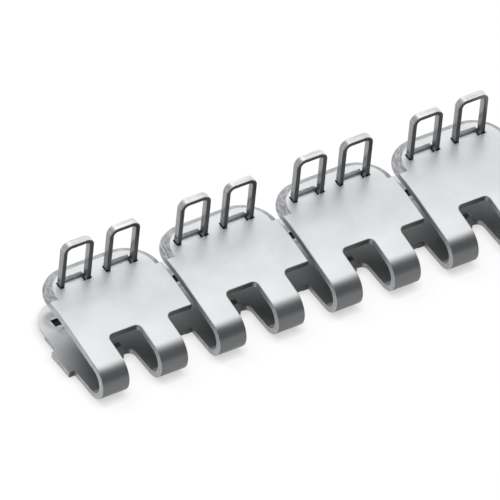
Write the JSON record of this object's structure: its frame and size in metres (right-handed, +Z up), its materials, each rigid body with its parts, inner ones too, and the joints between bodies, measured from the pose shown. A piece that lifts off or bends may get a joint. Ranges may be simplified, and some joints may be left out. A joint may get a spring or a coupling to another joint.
{
  "type": "belt fastener strip",
  "caption": "Folded steel plates joined side by side, with hinge loops, notches and preset wire staples, for hinging two conveyor belt ends.",
  "frame": {"origin": "centre of the bounding box, on the flat outer faces of the lower plates", "axes": "+X along the strip, +Y from the hinge loops to the rear edges, +Z up through the staples"},
  "size_m": [0.1016, 0.0286, 0.0208],
  "materials": {
    "plate_steel": "satin plated",
    "staple_wire": "bright plated"
  },
  "bodies": {
    "strip": {"fastener_strip": "plate_steel"},
    "staple_1_left": {"staple_1_left": "staple_wire"},
    "staple_1_right": {"staple_1_right": "staple_wire"},
    "staple_2_left": {"staple_2_left": "staple_wire"},
    "staple_2_right": {"staple_2_right": "staple_wire"},
    "staple_3_left": {"staple_3_left": "staple_wire"},
    "staple_3_right": {"staple_3_right": "staple_wire"},
    "staple_4_left": {"staple_4_left": "staple_wire"},
    "staple_4_right": {"staple_4_right": "staple_wire"}
  },
  "joints": [
    {"name": "staple_1_left_drive", "type": "slide", "parent": "strip", "child": "staple_1_left", "axis": [0, 0.0436, -0.999], "range_m": [0, 0.0099]},
    {"name": "staple_1_right_drive", "type": "slide", "parent": "strip", "child": "staple_1_right", "axis": [0, 0.0436, -0.999], "range_m": [0, 0.0099]},
    {"name": "staple_2_left_drive", "type": "slide", "parent": "strip", "child": "staple_2_left", "axis": [0, 0.0436, -0.999], "range_m": [0, 0.0099]},
    {"name": "staple_2_right_drive", "type": "slide", "parent": "strip", "child": "staple_2_right", "axis": [0, 0.0436, -0.999], "range_m": [0, 0.0099]},
    {"name": "staple_3_left_drive", "type": "slide", "parent": "strip", "child": "staple_3_left", "axis": [0, 0.0436, -0.999], "range_m": [0, 0.0099]},
    {"name": "staple_3_right_drive", "type": "slide", "parent": "strip", "child": "staple_3_right", "axis": [0, 0.0436, -0.999], "range_m": [0, 0.0099]},
    {"name": "staple_4_left_drive", "type": "slide", "parent": "strip", "child": "staple_4_left", "axis": [0, 0.0436, -0.999], "range_m": [0, 0.0099]},
    {"name": "staple_4_right_drive", "type": "slide", "parent": "strip", "child": "staple_4_right", "axis": [0, 0.0436, -0.999], "range_m": [0, 0.0099]}
  ]
}
